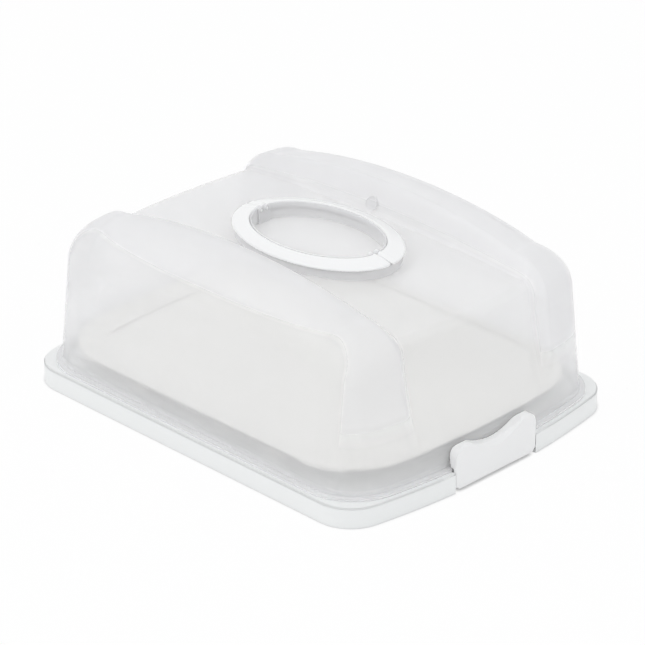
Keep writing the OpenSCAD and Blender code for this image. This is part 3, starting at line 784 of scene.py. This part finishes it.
def add_hinge_leaves(s, form):
    """The lid's two leaves of the hinge, between the tray's three knuckles."""
    hinge_x = -(form["half"][0] + HINGE_RADIUS + HINGE_BACK)
    hinge_z = s.rim_height + GAP + HINGE_RADIUS + HINGE_LIFT
    share = HINGE_LENGTH / KNUCKLES
    for number, label in ((1, "front"), (3, "rear")):
        low_y = (number - KNUCKLES / 2) * share + GAP
        high_y = low_y + share - 2 * GAP
        leaf = block(
            f"cover_hinge_{label}",
            (hinge_x, low_y, hinge_z - LEAF_BELOW),
            (-form["half"][0] + LEAF_ROOT, high_y, hinge_z + LEAF_ABOVE),
        )
        middle = (hinge_x, (low_y + high_y) / 2, hinge_z)
        cut_with(leaf, rod("barrel", middle, HINGE_RADIUS, high_y - low_y, "Y"), "UNION")
        cut_with(leaf, rod("bore", (hinge_x, 0, hinge_z), HINGE_BORE, 0.2, "Y"))
        finish_modifier(leaf, "BEVEL", width=EDGE_ROUND, segments=2, limit_method="ANGLE")
        smooth_faces(leaf, 35)
        dress(leaf, "collar", "lid_frosted", "cover")


def add_gate_boss(s, form):
    """The round boss that the moulding's gate left on the rear ridge's slope."""
    gate_y = form["valley_half"] + GATE_UP_SLOPE
    gate_z = form["valley_z"] + s.valley_depth * ridge_share(s, form, gate_y)
    deselect_all()
    bpy.ops.mesh.primitive_cylinder_add(vertices=64, radius=GATE_RADIUS, depth=GATE_HEIGHT)
    boss = take_new("cover_gate_boss")
    bpy.ops.object.mode_set(mode="EDIT")
    bm = bmesh.from_edit_mesh(boss.data)
    for f in bm.faces:
        f.select = f.normal.z > 0.9
    bmesh.update_edit_mesh(boss.data)
    bpy.ops.mesh.inset(thickness=GATE_RIM)
    bpy.ops.transform.translate(value=(0, 0, -GATE_DISH))
    bpy.ops.object.mode_set(mode="OBJECT")
    finish_modifier(boss, "BEVEL", width=EDGE_ROUND, segments=3, limit_method="ANGLE")
    boss.rotation_euler = (math.radians(GATE_TILT), 0, 0)
    boss.location = (GATE_X, gate_y, gate_z)
    settle(boss)
    smooth_faces(boss, 40)
    dress(boss, "lid", "lid_frosted", "cover")


class CARRIER_OT_lid(bpy.types.Operator):
    """Make the lid: shell, handle collar, brackets, hinge leaves and the moulding's round boss"""

    bl_idname = "carrier.lid"
    bl_label = "Lid"

    def execute(self, context):
        s = context.scene.carrier_sizes
        form = lid_form(s)
        dress(lid_skin(s), "lid", "lid_frosted", "cover", "lid")
        outer = (s.ring_half_length, s.ring_half_width)
        inner = (outer[0] - s.ring_end_band, outer[1] - s.ring_side_band)
        seat = form["valley_z"] + COLLAR_RISE
        add_collar(s, form, outer, inner, seat)
        add_brackets(s, form, outer, inner, seat)
        add_hinge_leaves(s, form)
        add_gate_boss(s, form)
        return {"FINISHED"}


class CARRIER_OT_handles(bpy.types.Operator):
    """Make the two bails of the folding handle, with softly rounded edges"""

    bl_idname = "carrier.handles"
    bl_label = "Folding handles"

    def execute(self, context):
        for side in ("front", "rear"):
            bail = copy_of_node(f"handle_{side}", f"bail_{side}_grip")
            soften(bail, SOFT_ROUND, 4)
            dress(bail, "handle", "handle_white", f"bail_{side}", f"handle_{side}")
        return {"FINISHED"}


class CARRIER_OT_latch(bpy.types.Operator):
    """Make the end latch, with softly rounded edges and a rounded finger scoop"""

    bl_idname = "carrier.latch"
    bl_label = "End latch"

    def execute(self, context):
        latch = copy_of_node("end_latch", "latch_body")
        soften(latch, SOFT_ROUND, 5)
        dress(latch, "latch", "latch_white", "latch", "end_latch")
        return {"FINISHED"}


class CARRIER_OT_base(bpy.types.Operator):
    """Give the tray, the serving plate and the hinge pin their plastics and steel"""

    bl_idname = "carrier.base"
    bl_label = "Tray, plate and pin"

    def execute(self, context):
        mouldings = (("base_tray", "tray", "base"), ("serving_plate", "plate", "plate"))
        for node, plastic, body in mouldings:
            piece = copy_of_node(node, f"{plastic}_moulding")
            smooth_faces(piece, 38)
            dress(piece, plastic, f"{plastic}_white", body, node)
        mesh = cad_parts["hinge_pin"].data
        mesh.materials.clear()
        mesh.materials.append(plastics()["pin"])
        return {"FINISHED"}


# ---------------------------------------------------------------- the studio


def seen_by_eye(tree):
    """1 for the rays that make a surface seen: camera, gloss and glass."""
    path = tree.nodes.new("ShaderNodeLightPath")
    rays = sum_node(tree, "MAXIMUM", path.outputs["Is Camera Ray"], path.outputs["Is Glossy Ray"])
    return sum_node(tree, "MAXIMUM", rays, path.outputs["Is Transmission Ray"])


def seen_white_with_painted_contact_shadow(material, share):
    """Shows a surface as white by a share; where something stands on it, a painted contact shadow
    lowers that white and darkens its colour.
    """
    tree, shader = material.node_tree, principled(material)
    output = next(n for n in tree.nodes if n.type == "OUTPUT_MATERIAL")
    rays = seen_by_eye(tree)
    glow = tree.nodes.new("ShaderNodeEmission")
    glow.inputs["Color"].default_value = (1, 1, 1, 1)
    glow.inputs["Strength"].default_value = 1
    mix = tree.nodes.new("ShaderNodeMixShader")
    # Painted contact shadow: where ambient occlusion finds something near, the floor's seen white
    # is lowered and its colour darkened, from about 0.64 at the contact to 0.97 in the open.
    near = tree.nodes.new("ShaderNodeAmbientOcclusion")
    near.inputs["Distance"].default_value = PAINTED_SHADOW_REACH
    clear = tree.nodes.new("ShaderNodeMapRange")
    clear.inputs["From Min"].default_value = 0.4
    clear.inputs["To Min"].default_value = 0.3
    clear.inputs["From Max"].default_value = 0.9
    tree.links.new(near.outputs["AO"], clear.inputs["Value"])
    level = sum_node(tree, "MULTIPLY_ADD", clear.outputs["Result"], 0.47, 0.5)
    tree.links.new(level, shader.inputs["Base Color"])
    seen = sum_node(tree, "MULTIPLY", rays, clear.outputs["Result"])
    tree.links.new(sum_node(tree, "MULTIPLY", seen, share), mix.inputs["Fac"])
    tree.links.new(shader.outputs["BSDF"], mix.inputs[1])
    tree.links.new(glow.outputs["Emission"], mix.inputs[2])
    tree.links.new(mix.outputs["Shader"], output.inputs["Surface"])


def add_floor():
    """The white floor, with a painted contact shadow where something stands on it."""
    deselect_all()
    bpy.ops.mesh.primitive_plane_add(size=FLOOR_SIZE, location=(0, 0, FLOOR_Z))
    floor = take_new("studio_floor")
    settle(floor)
    paper, _, shader = new_material("studio_paper")
    shader.inputs["Roughness"].default_value = 0.9
    shader.inputs["Specular IOR Level"].default_value = 0.1
    seen_white_with_painted_contact_shadow(paper, SEEN_SHARE)
    floor.data.materials.append(paper)


def add_world(scene):
    """An even light from all sides, seen as white."""
    world = bpy.data.worlds.new("studio_world")
    scene.world = world
    world.use_nodes = True
    tree = world.node_tree
    tree.nodes.clear()
    output = tree.nodes.new("ShaderNodeOutputWorld")
    mix = tree.nodes.new("ShaderNodeMixShader")
    for slot, colour, strength in ((1, (0.98, 0.99, 1, 1), 0.78), (2, (1, 1, 1, 1), 1)):
        light = tree.nodes.new("ShaderNodeBackground")
        light.inputs["Color"].default_value = colour
        light.inputs["Strength"].default_value = strength
        tree.links.new(light.outputs[0], mix.inputs[slot])
    tree.links.new(seen_by_eye(tree), mix.inputs["Fac"])
    tree.links.new(mix.outputs[0], output.inputs["Surface"])


def add_lamps(scene):
    """The soft lamps, aimed at the lid."""
    for name, place, size, power in LAMPS:
        lamp = bpy.data.lights.new(name, "AREA")
        lamp.size = size
        lamp.energy = power
        holder = bpy.data.objects.new(name, lamp)
        scene.collection.objects.link(holder)
        holder.location = place
        aim = Vector(LAMP_AIM) - Vector(place)
        holder.rotation_euler = aim.to_track_quat("-Z", "Y").to_euler()


def add_camera(scene):
    """The camera, as fitted to the photo."""
    lens = bpy.data.cameras.new("photo_camera")
    lens.sensor_fit = "HORIZONTAL"
    lens.sensor_width = 36
    lens.lens = LENS_MM
    lens.clip_start = 0.1
    lens.clip_end = 50
    camera = bpy.data.objects.new("photo_camera", lens)
    scene.collection.objects.link(camera)
    turn = Matrix((CAMERA_RIGHT, CAMERA_UP, CAMERA_BACK)).transposed()
    camera.matrix_world = Matrix.Translation(CAMERA_PLACE) @ turn.to_4x4()
    scene.camera = camera


class CARRIER_OT_stage(bpy.types.Operator):
    """Set the white floor, the soft studio light and the camera"""

    bl_idname = "carrier.stage"
    bl_label = "Stage"

    def execute(self, context):
        scene = context.scene
        add_floor()
        add_world(scene)
        add_lamps(scene)
        add_camera(scene)
        scene.view_settings.view_transform = "Standard"
        return {"FINISHED"}


class CARRIER_PT_sidebar(bpy.types.Panel):
    """Lists the carrier's operators, sizes and colours"""

    bl_label = "Cake carrier"
    bl_idname = "CARRIER_PT_sidebar"
    bl_space_type = "VIEW_3D"
    bl_region_type = "UI"
    bl_category = "Carrier"

    def draw(self, context):
        column = self.layout.column()
        for operator in OPERATORS:
            column.operator(operator.bl_idname)
        for group in (context.scene.carrier_sizes, context.scene.carrier_colours):
            for name in group.__annotations__:
                column.prop(group, name)


OPERATORS = (
    CARRIER_OT_lid,
    CARRIER_OT_handles,
    CARRIER_OT_latch,
    CARRIER_OT_base,
    CARRIER_OT_stage,
)
CLASSES = (CarrierSizes, CarrierColours, *OPERATORS, CARRIER_PT_sidebar)


def register():
    """Registers the classes and the scene's sizes and colours."""
    for cls in CLASSES:
        bpy.utils.register_class(cls)
    bpy.types.Scene.carrier_sizes = bpy.props.PointerProperty(type=CarrierSizes)
    bpy.types.Scene.carrier_colours = bpy.props.PointerProperty(type=CarrierColours)


def unregister():
    """Takes the classes away again."""
    del bpy.types.Scene.carrier_colours
    del bpy.types.Scene.carrier_sizes
    for cls in reversed(CLASSES):
        bpy.utils.unregister_class(cls)


def main():
    """Makes every piece and the stage."""
    register()
    bpy.ops.carrier.lid()
    bpy.ops.carrier.handles()
    bpy.ops.carrier.latch()
    bpy.ops.carrier.base()
    bpy.ops.carrier.stage()
    deselect_all()


if __name__ == "__main__":
    main()
